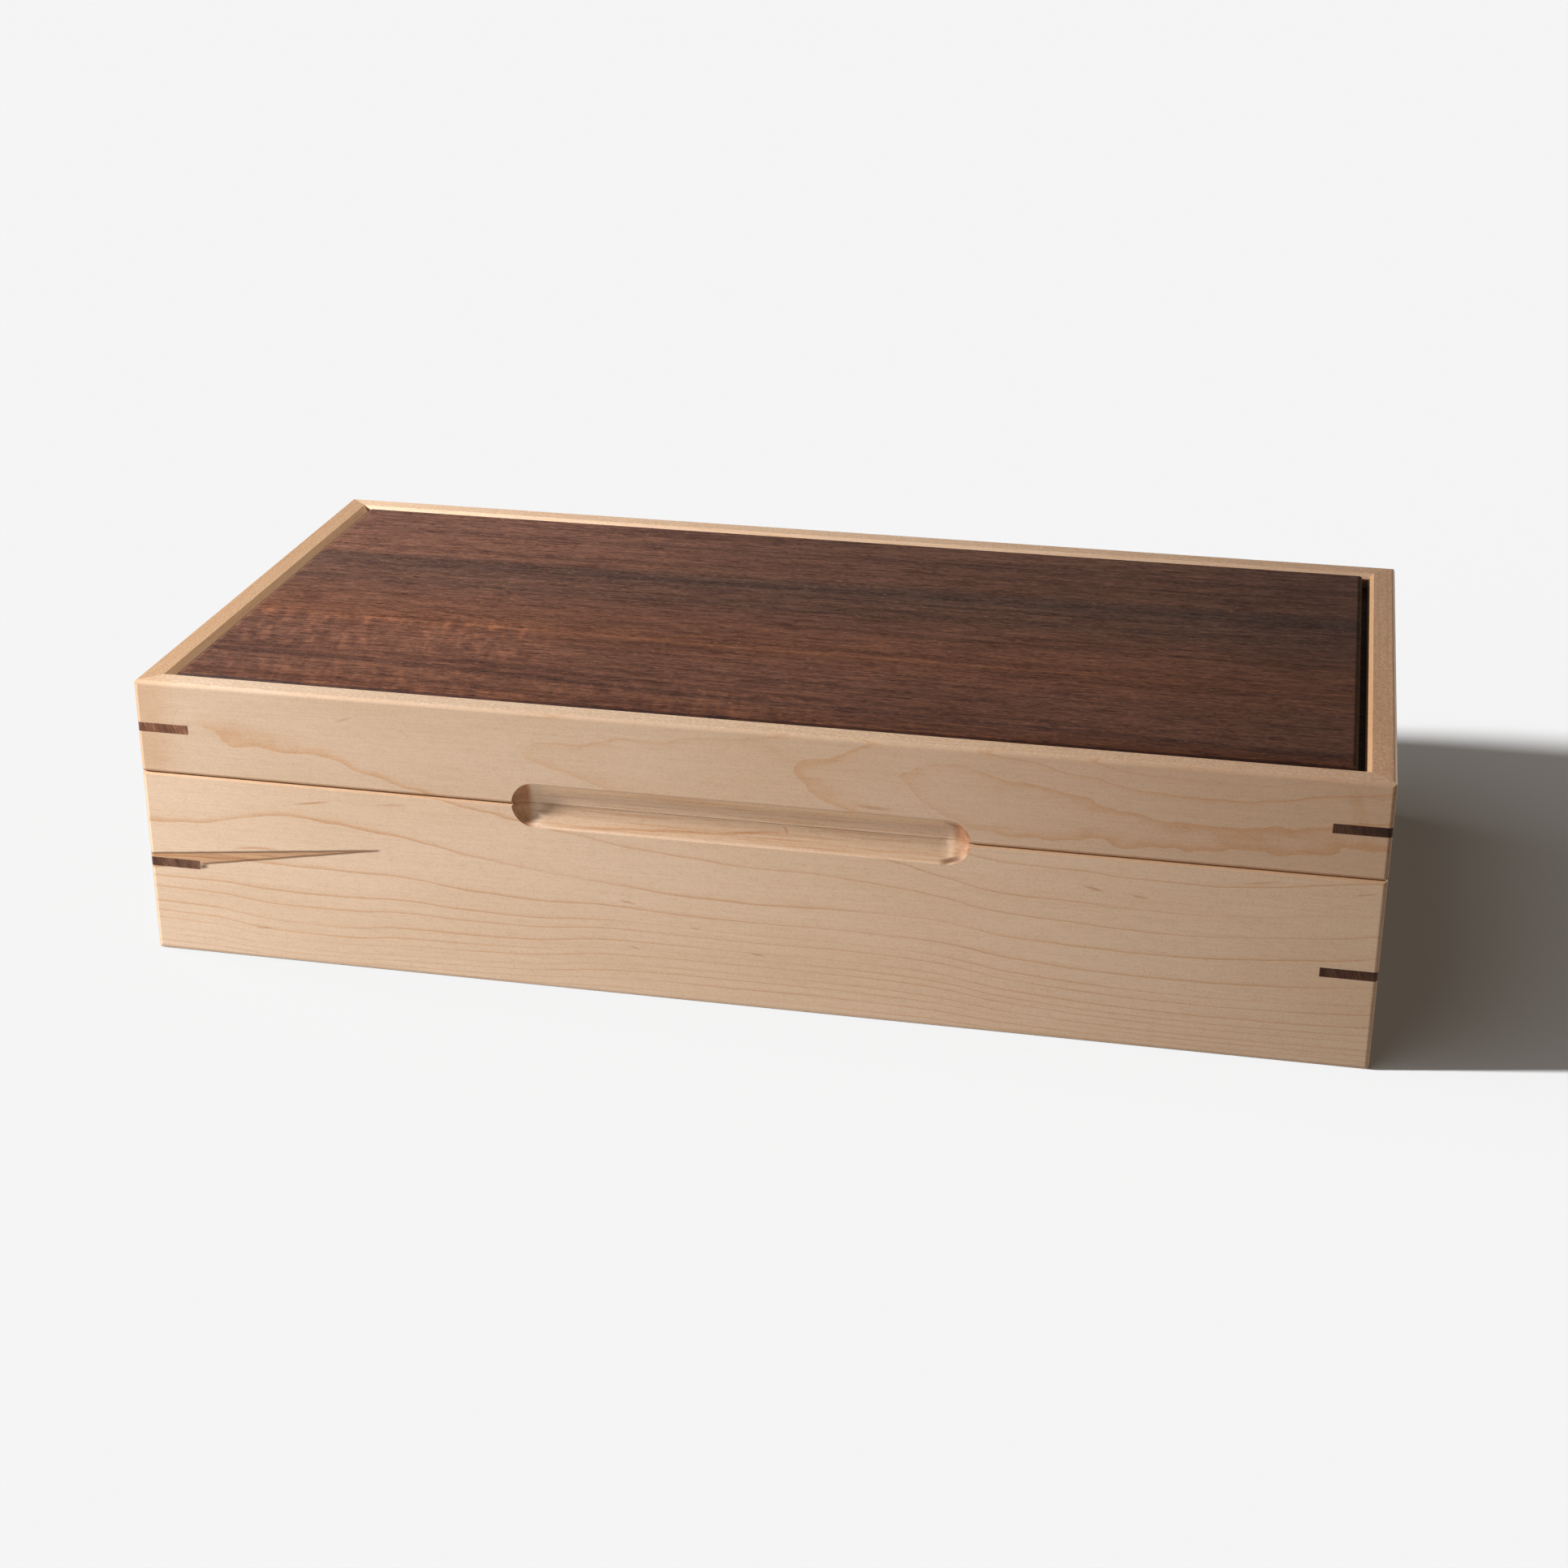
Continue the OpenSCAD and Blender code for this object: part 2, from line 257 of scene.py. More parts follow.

# Names that end in _TINT or _TINTS are factors that a mark, or painted light or shade, multiplies
# the wood's colour by.
LATEWOOD_TINT = (0.85, 0.70, 0.565)
LATEWOOD_LID_TINT = (0.93, 0.79, 0.65)
STREAK_TINT = (0.945, 0.925, 0.900)
VESSEL_TINT = (0.93, 0.90, 0.87)
MOTTLE_TINT = (0.965, 0.955, 0.94)
SPECKLE_TINT = (0.930, 0.915, 0.900)
# Painted highlight: glints on the flat tops, and darker specks between them.
PAINTED_GLINT_TINT = (1.15, 1.18, 1.22)
BETWEEN_PAINTED_GLINTS_TINT = (0.91, 0.88, 0.85)
SEAM_TINT = (0.86, 0.74, 0.62)
CORNER_TINT = (0.84, 0.75, 0.66)
FIRST_CORNER_TINT = (0.62, 0.53, 0.45)
LEFT_BEVEL_PAINTED_LIGHT_TINT = (1.34, 1.30, 1.22)
RIGHT_BEVEL_PAINTED_SHADE_TINT = (0.78, 0.70, 0.60)
RIGHT_TOP_PAINTED_SHADE_TINT = (0.90, 0.83, 0.80)

# Each board's cast over that colour, at its start and at its end along the fibre: its own tone,
# with painted light and shade.
CASTS_AND_PAINTED_SHADE = {
    "front": ((1.0, 1.0, 1.0), (1.0, 0.945, 0.890)),
    "right": ((0.86, 0.76, 0.66), (0.84, 0.76, 0.68)),
    "back": ((0.84, 0.77, 0.72), (1.0, 0.98, 0.97)),
    "left": ((0.85, 0.74, 0.64), (0.88, 0.78, 0.68)),
}

# The front board's growth rings, as heights in mm over the length in mm.
FIRST_RING = [
    (0, 35.6), (15, 36.7), (37, 39.9), (59, 38.5), (87, 33.5), (117, 30.2), (150, 28.3),
    (192, 28.8), (222, 25.8), (258, 25.0), (277, 26.0), (305, 29.3),
]
# Below the first ring, heights are taken as a share of it, bent by this exponent along the board.
RING_BEND = [
    (0, 0.66), (15, 0.62), (40, 0.49), (66, 0.56), (97, 0.68), (153, 1.0), (192, 0.95),
    (222, 0.78), (262, 0.68), (305, 0.66),
]
LOWER_RINGS = [
    (0, -12.2), (0.08, -11), (0.17, -10), (0.25, -9), (0.31, -8), (0.40, -7), (0.46, -6),
    (0.53, -5), (0.63, -4), (0.70, -3), (0.82, -2), (1.0, -1),
]
# Rings between the first one and the heart of the board, and the height of that heart in mm.
HEART_COUNT = [
    (0, -0.12), (14, 0.0), (35, 0.12), (47, 0.12), (59, 0.35), (75, 0.62), (100, 1.0),
    (111, 1.15), (153, 1.72), (167, 2.0), (179, 2.4), (192, 3.0), (210, 3.5), (235, 3.3),
    (258, 3.15), (291, 3.15), (305, 3.2),
]
HEART_HEIGHT = [
    (0, 63), (150, 63), (170, 64), (192, 64.5), (210, 61), (235, 58), (258, 55.5),
    (290, 58.5), (305, 60),
]
# How the count climbs from the first ring (0) to the heart (1), and how fast it falls above it.
RISE = [(0, 0), (0.2, 0.25), (0.35, 0.46), (0.6, 0.70), (0.8, 0.91), (1, 1)]
FALL_MM = 10.0

# Plain boards: the height in mm of the heart, and how many mm the first ring lies from it.
PLAIN_HEARTS = {"right": (52.0, 14.0), "back": (18.0, 15.0), "left": (52.0, 14.0)}
# Heights in mm between which each board's ring lines grow wider.
CLOSE_RINGS = {
    "front": (34.0, 12.0),
    "right": (34.0, 10.0),
    "back": (34.0, 60.0),
    "left": (34.0, 10.0),
}
# How many mm one ring takes up into the thickness of a board.
RING_DEPTH_MM = 2.2
# How far, in rings, the lines wander: broadly, finely, and raggedly in the lid.
WAVE, RIPPLE, RAGGED = 0.26, 0.07, 0.46
# The width of a line as a share of its ring, and what close rings and torn ones add to it.
LINE_WIDTH, CLOSE_WIDTH, TORN_WIDTH = 0.075, 0.10, 0.105
# Each line has a soft tail this many times its width; then how dark the line and its tail are.
TAIL_LENGTH = 2.8
LINE_STRENGTH, TAIL_STRENGTH = 0.85, 0.22
# The front's lines tear more from one length to the other; the other boards keep the low value.
TORN_SPAN = (60.0, 150.0)
TORN_LOW, TORN_HIGH = 0.35, 1.0
# The parts of the first lobe whose upper line is missing, and how much the pull hides of a line.
FADED_HEIGHT = (61.5, 64.0)
FADED_LENGTH = (106.0, 94.0)
ROUTED_SHARE = 0.75
MAPLE_RELIEF = 0.00006

# The finger pull in mm: its length, its height, and the depths over which its tones come in.
PULL_LENGTH = (92.0, 214.0)
PULL_HEIGHT = (40.0, 58.0)
PULL_DEPTH = (0.15, 0.60)
PULL_FLOOR = (105.0, 201.0)


def front_board_rings(sh, u, v):
    """The ring count over the front of the box, a flat-sawn board with its heart in the lid."""
    first = sh.profile(u, FIRST_RING)
    heart = sh.profile(u, HEART_HEIGHT)
    count = sh.profile(u, HEART_COUNT)
    share = sh.math("MINIMUM", sh.math("MAXIMUM", v / first, 0.001), 1.0)
    lower = sh.profile(sh.math("POWER", share, sh.profile(u, RING_BEND)), LOWER_RINGS)
    climb = sh.math("MINIMUM", sh.math("MAXIMUM", (v - first) / (heart - first), 0.0), 1.0)
    over = sh.math("MAXIMUM", v - heart, 0.0) / FALL_MM
    return lower + (count + 1.0) * sh.profile(climb, RISE) - over * over


def plain_board_rings(sh, u, v, seed, heart, spread):
    """The ring count of an ordinary flat-sawn board whose heart is at that height."""
    wander = sh.noise((u, v, 0.0), (120.0, 300.0, 1.0), seed, detail=1.0) * 14.0 - 7.0
    offset = (v - (heart + wander)) / spread
    drift = sh.noise((u, v, 0.0), (240.0, 90.0, 1.0), seed + 3.1, detail=1.0) * 3.4
    return drift - offset * offset


def board_axes(sh, side):
    """(along the fibre, up, into the wood) in mm for one side of the box."""
    x, y, z = sh.axes(sh.position, MM)
    left, right, front, back = LEFT / MM, RIGHT / MM, FRONT / MM, BACK / MM
    return {
        "front": (x - left, z, y - front),
        "right": (y - front, z, right - x),
        "back": (right - x, z, back - y),
        "left": (back - y, z, x - left),
    }[side]


def ring_lines(sh, side, place, seed, in_lid):
    """The dark late edge of each growth ring, as a mask."""
    u, v, w = place
    if side == "front":
        rings = front_board_rings(sh, u, v)
        torn = sh.ramp(u, *TORN_SPAN, TORN_LOW, TORN_HIGH)
    else:
        heart, spread = PLAIN_HEARTS[side]
        rings = plain_board_rings(sh, u, v, seed, heart, spread)
        torn = TORN_LOW
    close = sh.ramp(v, *CLOSE_RINGS[side])
    wave = sh.noise(place, (45.0, 14.0, 14.0), seed) - 0.5
    ripple = sh.noise(place, (7.0, 2.2, 2.2), seed + 5.0) - 0.5
    ragged = sh.noise(place, (11.0, 6.5, 6.5), seed + 7.0, detail=1.6) - 0.5
    field = rings + w / RING_DEPTH_MM + wave * WAVE + ripple * RIPPLE
    field = field + ragged * in_lid * torn * RAGGED

    step = sh.math("FRACT", field)
    width = close * CLOSE_WIDTH + in_lid * torn * TORN_WIDTH + LINE_WIDTH
    line = 1.0 - sh.ramp(step / width, 0.0, 1.0)
    tail = 1.0 - sh.ramp(step / width, 0.0, TAIL_LENGTH)
    which = sh.math("FLOOR", field)
    own = sh.noise((u, which * 10.0, 0.0), (85.0, 3.0, 1.0), seed + 9.0, detail=1.0)
    presence = sh.ramp(own, 0.30, 0.60, 0.30, 1.0)
    lines = (line * LINE_STRENGTH + tail * TAIL_STRENGTH) * presence
    if side == "front":
        # The first lobe has no line along its upper side, and the routed pull shows few lines.
        faded = sh.ramp(v, *FADED_HEIGHT) * sh.ramp(u, *FADED_LENGTH)
        routed = sh.ramp(w, *PULL_DEPTH) * sh.window(v, *PULL_HEIGHT, 1.0) * ROUTED_SHARE
        lines = lines * (1.0 - sh.math("MAXIMUM", faded, routed))
    return lines


def maple_ground(sh, place, seed):
    """Broad warmth, silky fibre and the dashes of cut vessels: (colour, streaks, vessels)."""
    cloud = sh.noise(place, (70.0, 22.0, 10.0), seed + 13.0, detail=3.0)
    colour = sh.mix(sh.ramp(cloud, 0.30, 0.72), MAPLE_PALE, MAPLE_DEEP)
    streak = sh.noise(place, (22.0, 0.7, 0.7), seed + 17.0, detail=4.0, rough=0.6)
    colour = sh.tint(colour, sh.ramp(streak, 0.35, 0.75), STREAK_TINT)
    vessel = sh.noise(place, (2.4, 0.30, 0.30), seed + 21.0, detail=1.0)
    colour = sh.tint(colour, sh.ramp(vessel, 0.60, 0.74), VESSEL_TINT)
    mottle = sh.noise(place, (3.0, 1.6, 1.6), seed + 25.0, detail=3.0)
    colour = sh.tint(colour, sh.ramp(mottle, 0.42, 0.70), MOTTLE_TINT)
    speckle = sh.noise(place, (0.75, 0.42, 0.42), seed + 27.0, detail=1.0)
    colour = sh.tint(colour, sh.ramp(speckle, 0.45, 0.70), SPECKLE_TINT)
    return colour, streak, vessel


# ---------------------------------------------------------------- marks on the front board

# Short brown strokes of gum: start, end, width, strength.
GUM = (
    ((39.0, 43.9), (49.5, 45.5), 0.9, 0.8),
    ((60.5, 45.6), (69.0, 46.3), 0.8, 0.5),
    ((51.5, 66.9), (56.0, 68.3), 0.8, 0.5),
    ((235.0, 41.2), (240.5, 40.3), 0.9, 0.7),
    ((246.5, 39.9), (251.0, 39.5), 0.9, 0.6),
    ((122.5, 25.9), (127.0, 25.4), 0.8, 0.7),
    ((140.5, 20.4), (143.0, 20.1), 0.7, 0.5),
    ((125.0, 13.6), (127.8, 13.2), 0.7, 0.6),
    ((155.0, 15.0), (159.5, 14.5), 0.8, 0.6),
    ((272.0, 45.4), (281.0, 46.8), 0.8, 0.5),
    ((297.0, 44.7), (303.0, 46.0), 0.7, 0.5),
    ((26.5, 8.4), (31.5, 8.9), 0.8, 0.5),
    ((180.0, 56.8), (190.0, 56.4), 1.2, 0.6),
)
GUM_TINT = (0.72, 0.52, 0.38)
# Wider, paler stains, in the same form.
STAINS = (
    ((14.0, 63.5), (44.0, 59.5), 9.0, 0.55),
    ((294.5, 72.5), (298.5, 62.5), 5.0, 0.45),
    ((152.0, 72.5), (172.0, 63.5), 6.0, 0.25),
)
STAIN_TINT = (0.90, 0.81, 0.70)

# The brown wedge at the left: its upper and lower lines as (start u, start v, rise), and its tip.
WEDGE_UPPER = (0.0, 26.8, 0.1065)
WEDGE_LOWER = (14.6, 25.2, 0.1745)
WEDGE_TIP = (60.5, 62.0)
WEDGE_TINTS = ((0.60, 0.43, 0.30), (0.84, 0.69, 0.54))
WEDGE_LINE_TINT = (0.34, 0.29, 0.24)
STUB = ((12.6, 24.0), (15.4, 24.7), 1.7)
STUB_TINT = (0.20, 0.15, 0.12)
# A thin arc over the wedge, with the two lengths where it meets its chord and its bulge.
ARC = ((22.0, 30.0), (35.0, 31.0), 0.9)
ARC_SPAN = (22.0, 34.0)
ARC_BULGE = 0.012
ARC_TINT = (0.82, 0.58, 0.44)

# Painted shade on the floor of the pull below the seam, deepest near it, and painted light above
# the seam, growing upwards; then its two ends.
BELOW_SEAM_PAINTED_SHADE_TINTS = ((0.87, 0.83, 0.80), (0.74, 0.69, 0.65))
ABOVE_SEAM_PAINTED_LIGHT_TINTS = ((1.04, 1.02, 1.0), (1.18, 1.13, 1.04))
SCRAPE_TINT = (0.88, 0.78, 0.68)
LEFT_END_TINTS = ((0.52, 0.33, 0.22), (0.92, 0.69, 0.50))
LEFT_END_LID_TINT = (0.74, 0.62, 0.52)
RIGHT_END_TINTS = ((0.42, 0.31, 0.25), (0.74, 0.62, 0.54))
RIGHT_END_LID_TINT = (0.88, 0.78, 0.70)
# Where a growth ring surfaces in the floor of the pull; torn and burnt fibre at its right end.
PULL_LOBE = (
    ((104.0, 43.9), (153.0, 46.0), 0.9),
    ((146.0, 45.7), (164.5, 47.4), 1.0),
    ((164.4, 47.0), (163.2, 48.9), 1.1),
)
TEAR_OUT = (
    ((207.0, 53.0), (208.5, 50.1), 0.8),
    ((208.4, 48.7), (207.5, 46.4), 0.9),
    ((202.0, 54.0), (206.5, 53.0), 0.8),
)
TEAR_OUT_TINT = (0.66, 0.44, 0.32)
BURN = ((201.0, 43.7), (206.3, 45.3), 2.0)
BURN_TINT = (0.28, 0.16, 0.11)

# The lid's front against the base's, from left to right: its own tone with painted shade deepening
# to the right; then painted light on its flat top, growing to the right.
LID_TONE_AND_PAINTED_SHADE_TINTS = ((0.915, 0.905, 0.90), (0.84, 0.79, 0.765))
LID_LEFT_TINT = (0.93, 0.86, 0.79)
PAINTED_SHEEN_TINTS = ((0.97, 0.99, 1.01), (1.17, 1.19, 1.20))


def spalt_wedge(sh, u, v, wobble):
    """The dark-edged brown wedge that runs in from the left end: (fill, outline) masks."""
    start, height, rise = WEDGE_UPPER
    upper_gap = height + (u - start) * rise + wobble - v
    start, height, rise = WEDGE_LOWER
    lower_gap = v - (height + (u - start) * rise + wobble)
    inside = sh.ramp(upper_gap, -0.10, 0.12) * sh.ramp(lower_gap, -0.10, 0.12)
    short = sh.ramp(u, *WEDGE_TIP, 1.0, 0.0)
    roof = sh.ramp(sh.math("ABSOLUTE", upper_gap), 0.10, 0.42, 1.0, 0.0)
    floor_line = sh.ramp(sh.math("ABSOLUTE", lower_gap), 0.10, 0.42, 1.0, 0.0)
    outline = sh.math("MAXIMUM", roof, floor_line * sh.ramp(u, 12.0, 15.0)) * short
    return inside * short, outline


def front_marks(sh, colour, place, streak, flat, upper, wobble):
    """The marks that only the front board has, with painted shade on the lid and painted light on
    its flat top.
    """
    u, v = place[:2]
    # Partly the lid's own tone, partly painted shade deepening to the right.
    colour = sh.tint(colour, upper, sh.mix(sh.ramp(u, 150.0, 270.0), *LID_TONE_AND_PAINTED_SHADE_TINTS))
    colour = sh.tint(colour, upper * sh.ramp(u, 13.0, 3.0), LID_LEFT_TINT)
    # Painted light on the flat top, growing to the right.
    colour = sh.tint(colour, flat, sh.mix(sh.ramp(u, 10.0, 240.0), *PAINTED_SHEEN_TINTS))
    for start, end, thick, strength in STAINS:
        mask = sh.dash(u, v + wobble * 6.0, start, end, thick) * strength
        colour = sh.tint(colour, mask, STAIN_TINT)
    for start, end, thick, strength in GUM:
        mask = sh.dash(u, v + wobble, start, end, thick) * strength
        colour = sh.tint(colour, mask, GUM_TINT)
    fill, outline = spalt_wedge(sh, u, v, wobble * 0.5)
    colour = sh.tint(colour, fill * 0.95, sh.mix(sh.ramp(streak, 0.35, 0.65), *WEDGE_TINTS))
    colour = sh.tint(colour, outline * 0.92, WEDGE_LINE_TINT)
    colour = sh.tint(colour, sh.dash(u, v, *STUB) * 0.95, STUB_TINT)
    bulge = (u - ARC_SPAN[0]) * (ARC_SPAN[1] - u) * ARC_BULGE
    return sh.tint(colour, sh.dash(u, v - bulge, *ARC) * 0.7, ARC_TINT)


def pull_marks(sh, colour, place, seed, nx, upper, wobble):
    """The routed pull, which cuts across the fibre at its two ends."""
    u, v, w = place
    in_pull = sh.window(u, *PULL_LENGTH, 2.0) * sh.window(v, *PULL_HEIGHT, 1.0)
    sunk = sh.ramp(w, *PULL_DEPTH) * in_pull
    # Painted shade below the seam and painted light above it.
    below = sh.mix(sh.ramp(v, 45.5, SEAM_MM), *BELOW_SEAM_PAINTED_SHADE_TINTS)
    above = sh.mix(sh.ramp(v, 51.0, 54.5), *ABOVE_SEAM_PAINTED_LIGHT_TINTS)
    painted_shade_and_light = sh.mix(sh.ramp(v, SEAM_MM - 0.05, SEAM_MM + 0.05), below, above)
    colour = sh.tint(colour, sunk * sh.window(u, *PULL_FLOOR, 3.0), painted_shade_and_light)
    scrape = sh.noise(place, (30.0, 0.45, 0.45), seed + 35.0, detail=3.0)
    colour = sh.tint(colour, sh.ramp(scrape, 0.50, 0.66) * sunk, SCRAPE_TINT)

    fibre = sh.noise(place, (1.2, 5.0, 0.5), seed + 37.0, detail=3.0)
    left_end = sh.ramp(nx, 0.04, 0.24) * in_pull
    colour = sh.tint(colour, left_end, sh.mix(fibre, *LEFT_END_TINTS))
    right_end = sh.ramp(nx, -0.06, -0.32) * in_pull
    colour = sh.tint(colour, right_end, sh.mix(fibre, *RIGHT_END_TINTS))
    colour = sh.tint(colour, upper * left_end, LEFT_END_LID_TINT)
    colour = sh.tint(colour, upper * right_end, RIGHT_END_LID_TINT)

    for stroke in PULL_LOBE:
        colour = sh.tint(colour, sh.dash(u, v + wobble, *stroke) * sunk, LATEWOOD_TINT)
    burn = sh.dash(u, v + wobble * 2.0, *BURN)
    colour = sh.tint(colour, burn * in_pull * 0.9, BURN_TINT)
    for stroke in TEAR_OUT:
        mask = sh.dash(u, v + wobble, *stroke) * in_pull * 0.8
        colour = sh.tint(colour, mask, TEAR_OUT_TINT)
    return colour


def maple(name, side, seed):
    """Oiled pale maple, its fibre running along the board."""
    sh = Shader(name)
    place = board_axes(sh, side)
    u, v, w = place
    in_lid = sh.ramp(v, SEAM_MM - 3.0, SEAM_MM + 5.0)
    lines = ring_lines(sh, side, place, seed, in_lid)
    colour, streak, vessel = maple_ground(sh, place, seed)
    colour = sh.tint(colour, lines, sh.mix(in_lid, LATEWOOD_TINT, LATEWOOD_LID_TINT))
    # Painted light and shade along and across each board, with its own tone.
    near, far = CASTS_AND_PAINTED_SHADE[side]
    span = LENGTH_MM if side in ("front", "back") else DEPTH_MM
    colour = sh.tint(colour, 1.0, sh.mix(u / span, near, far))

    # The flat tops show the fibre edge-on, with painted glints: paler specks of highlight and
    # darker specks between them.
    nx, ny, nz = sh.axes(sh.normal)
    flat = sh.ramp(nz, 0.85, 0.98)
    painted_glint = sh.noise((u - w * 0.8, v, w), (0.75, 1.0, 0.55), seed + 29.0, detail=1.0)
    colour = sh.tint(colour, sh.ramp(painted_glint, 0.52, 0.36) * flat, BETWEEN_PAINTED_GLINTS_TINT)
    colour = sh.tint(colour, sh.ramp(painted_glint, 0.54, 0.66) * flat, PAINTED_GLINT_TINT)

    # The eased edges of the seam and the outer corners are tinted darker and browner.
    seam = sh.window(v, SEAM_MM - 0.5, SEAM_MM + 0.6, 0.3) * sh.ramp(w, 1.4, 0.2)
    colour = sh.tint(colour, seam * 0.9, SEAM_TINT)
    turned = sh.ramp(sh.math("ABSOLUTE", nx if side in ("front", "back") else ny), 0.12, 0.60)
    first_corner = FIRST_CORNER_TINT if side == "front" else CORNER_TINT
    colour = sh.tint(colour, turned * sh.ramp(u, 1.8, 0.9), first_corner)
    colour = sh.tint(colour, turned * sh.ramp(u, span - 1.8, span - 0.9), CORNER_TINT)

    if side == "front":
        upper = sh.ramp(v, SEAM_MM - 2.0, SEAM_MM + 2.0)
        wobble = (sh.noise(place, (6.0, 3.0, 3.0), seed + 31.0) - 0.5) * 0.5
        colour = front_marks(sh, colour, place, streak, flat, upper, wobble)
        colour = pull_marks(sh, colour, place, seed, nx, upper, wobble)
    if side == "left":
        # Painted light on the left rail's inner bevel, which faces away from the lamp.
        bevel = sh.ramp(nx, 0.35, 0.60) * sh.ramp(nz, 0.35, 0.60)
        colour = sh.tint(colour, bevel, LEFT_BEVEL_PAINTED_LIGHT_TINT)
    if side == "right":
        # Painted shade on the right rail's inner bevel and on its flat top.
        bevel = sh.ramp(nx, -0.35, -0.60) * sh.ramp(nz, 0.35, 0.60)
        colour = sh.tint(colour, bevel, RIGHT_BEVEL_PAINTED_SHADE_TINT)
        colour = sh.tint(colour, flat, RIGHT_TOP_PAINTED_SHADE_TINT)

    normal = sh.bump(streak * 0.6 + vessel * 0.4, MAPLE_RELIEF, 0.35)
    roughness = sh.ramp(streak, 0.2, 0.8, 0.42, 0.54)
    return sh.surface(colour, roughness, normal, Specular_IOR_Level=0.35)


# ---------------------------------------------------------------- walnut

# The panel's colour from the front of the box (0) to PANEL_SPAN_MM behind it (1).
PANEL_SPAN_MM = 155.0
PANEL_BANDS = [
    (0.000, (0.150, 0.074, 0.050)),
    (0.100, (0.168, 0.080, 0.053)),
    (0.158, (0.160, 0.076, 0.050)),
    (0.170, (0.105, 0.050, 0.037)),
    (0.178, (0.092, 0.044, 0.033)),
    (0.190, (0.148, 0.070, 0.048)),
    (0.300, (0.158, 0.076, 0.052)),
    (0.360, (0.165, 0.076, 0.049)),
    (0.371, (0.225, 0.102, 0.058)),
    (0.380, (0.172, 0.078, 0.048)),
    (0.440, (0.172, 0.082, 0.054)),
    (0.530, (0.145, 0.074, 0.053)),
    (0.560, (0.118, 0.066, 0.050)),
    (0.585, (0.136, 0.075, 0.055)),
    (0.630, (0.125, 0.072, 0.056)),
    (0.655, (0.088, 0.055, 0.046)),
    (0.680, (0.100, 0.060, 0.048)),
    (0.710, (0.150, 0.080, 0.058)),
    (0.800, (0.158, 0.084, 0.062)),
    (0.840, (0.135, 0.074, 0.057)),
    (0.870, (0.165, 0.090, 0.068)),
    (0.960, (0.140, 0.078, 0.060)),
]
# How far the front bands swing forward towards the right, and how much of that each depth takes.
BAND_SWING = [(0, 0), (10, 0), (60, 1.6), (100, 4.2), (150, 7.6), (220, 10.6), (305, 12.8)]
SWING_SHARE = [(0, 1), (28, 1), (56, 0.32), (85, 0.0), (104, -0.16), (155, -0.1)]

DRIFT_TINT = (0.68, 0.67, 0.70)
CLOUD_TINT = (0.86, 0.84, 0.84)
CURL_TINT = (1.58, 1.54, 1.42)
TROUGH_TINT = (0.64, 0.58, 0.57)
SMUDGE_TINTS = ((0.70, 0.66, 0.67), (1.18, 1.16, 1.12))
FIBRE_TINTS = ((0.58, 0.53, 0.53), (1.46, 1.44, 1.28))
RAY_COLOUR = (0.330, 0.170, 0.098)
PORE_TINT = (0.36, 0.32, 0.32)
PANEL_PAINTED_LIGHT_TINTS = ((1.32, 1.20, 1.16), (1.10, 0.98, 0.90))
PANEL_FRONT_TINT = (0.84, 0.78, 0.74)
PANEL_CORNER_PAINTED_SHADE_TINT = (0.78, 0.68, 0.60)
PANEL_RIGHT_PAINTED_SHADE_TINT = (0.86, 0.88, 0.92)
PANEL_LEFT_TINT = (0.80, 0.84, 0.90)
PANEL_BACK_LEFT_PAINTED_SHEEN_TINT = (1.17, 1.14, 1.13)
RIM_OIL_AND_PAINTED_SHADE_TINT = (0.34, 0.26, 0.22)
PANEL_RELIEF = 0.00008

SPLINE_DARK = (0.130, 0.060, 0.040)
SPLINE_PALE = (0.270, 0.145, 0.092)
SPLINE_STREAK_TINT = (0.58, 0.52, 0.50)
SPLINE_PORE_TINT = (0.45, 0.42, 0.42)
# The strips are paler at the left and darker at the right; each pair is (in the base, in the lid).
LEFT_SPLINE_TINTS = ((1.12, 1.05, 1.02), (2.00, 1.82, 1.66))
RIGHT_SPLINE_TINTS = ((0.58, 0.47, 0.40), (0.38, 0.30, 0.24))
SPLINE_RELIEF = 0.00005


def walnut_curl(sh, colour, place):
    """Short golden bars across the fibre, with darker troughs between them."""
    u, v, w = place
    bars = sh.noise((u + v * 0.22, v, w), (3.0, 10.0, 8.0), 11.0, detail=2.0, distort=0.4)
    middle = sh.window(u, 12.0, 78.0, 26.0) * sh.window(v, 36.0, 55.0, 8.0) * 0.85
    fore = sh.window(u, 16.0, 150.0, 40.0) * sh.window(v, 5.0, 22.0, 4.0) * 0.60
    curled = sh.math("MAXIMUM", middle, fore)
    colour = sh.tint(colour, sh.ramp(bars, 0.46, 0.68) * curled, CURL_TINT)
    return sh.tint(colour, sh.ramp(bars, 0.44, 0.28) * curled * 0.7, TROUGH_TINT)


def walnut_places(sh, colour, u, v):
    """Painted light at the left end, painted shade at the right end and right front, painted sheen
    at the back left; darker along the front and at the left front.
    """
    # Painted light, strongest at the left end.
    colour = sh.tint(colour, 1.0, sh.mix(u / LENGTH_MM, *PANEL_PAINTED_LIGHT_TINTS))
    colour = sh.tint(colour, sh.ramp(v, 19.0, 8.0), PANEL_FRONT_TINT)
    # Painted shade at the right front corner.
    corner = sh.ramp(u, 150.0, 290.0) * sh.ramp(v, 17.0, 9.0)
    colour = sh.tint(colour, corner, PANEL_CORNER_PAINTED_SHADE_TINT)
    # Painted shade at the right end.
    colour = sh.tint(colour, sh.ramp(u, 230.0, 295.0), PANEL_RIGHT_PAINTED_SHADE_TINT)
    left = sh.ramp(u, 48.0, 12.0) * sh.ramp(v, 62.0, 50.0)
    colour = sh.tint(colour, left, PANEL_LEFT_TINT)
    # Painted sheen at the back left.
    back_left = sh.ramp(v, 84.0, 112.0) * sh.ramp(u, 190.0, 70.0)
    return sh.tint(colour, back_left, PANEL_BACK_LEFT_PAINTED_SHEEN_TINT)


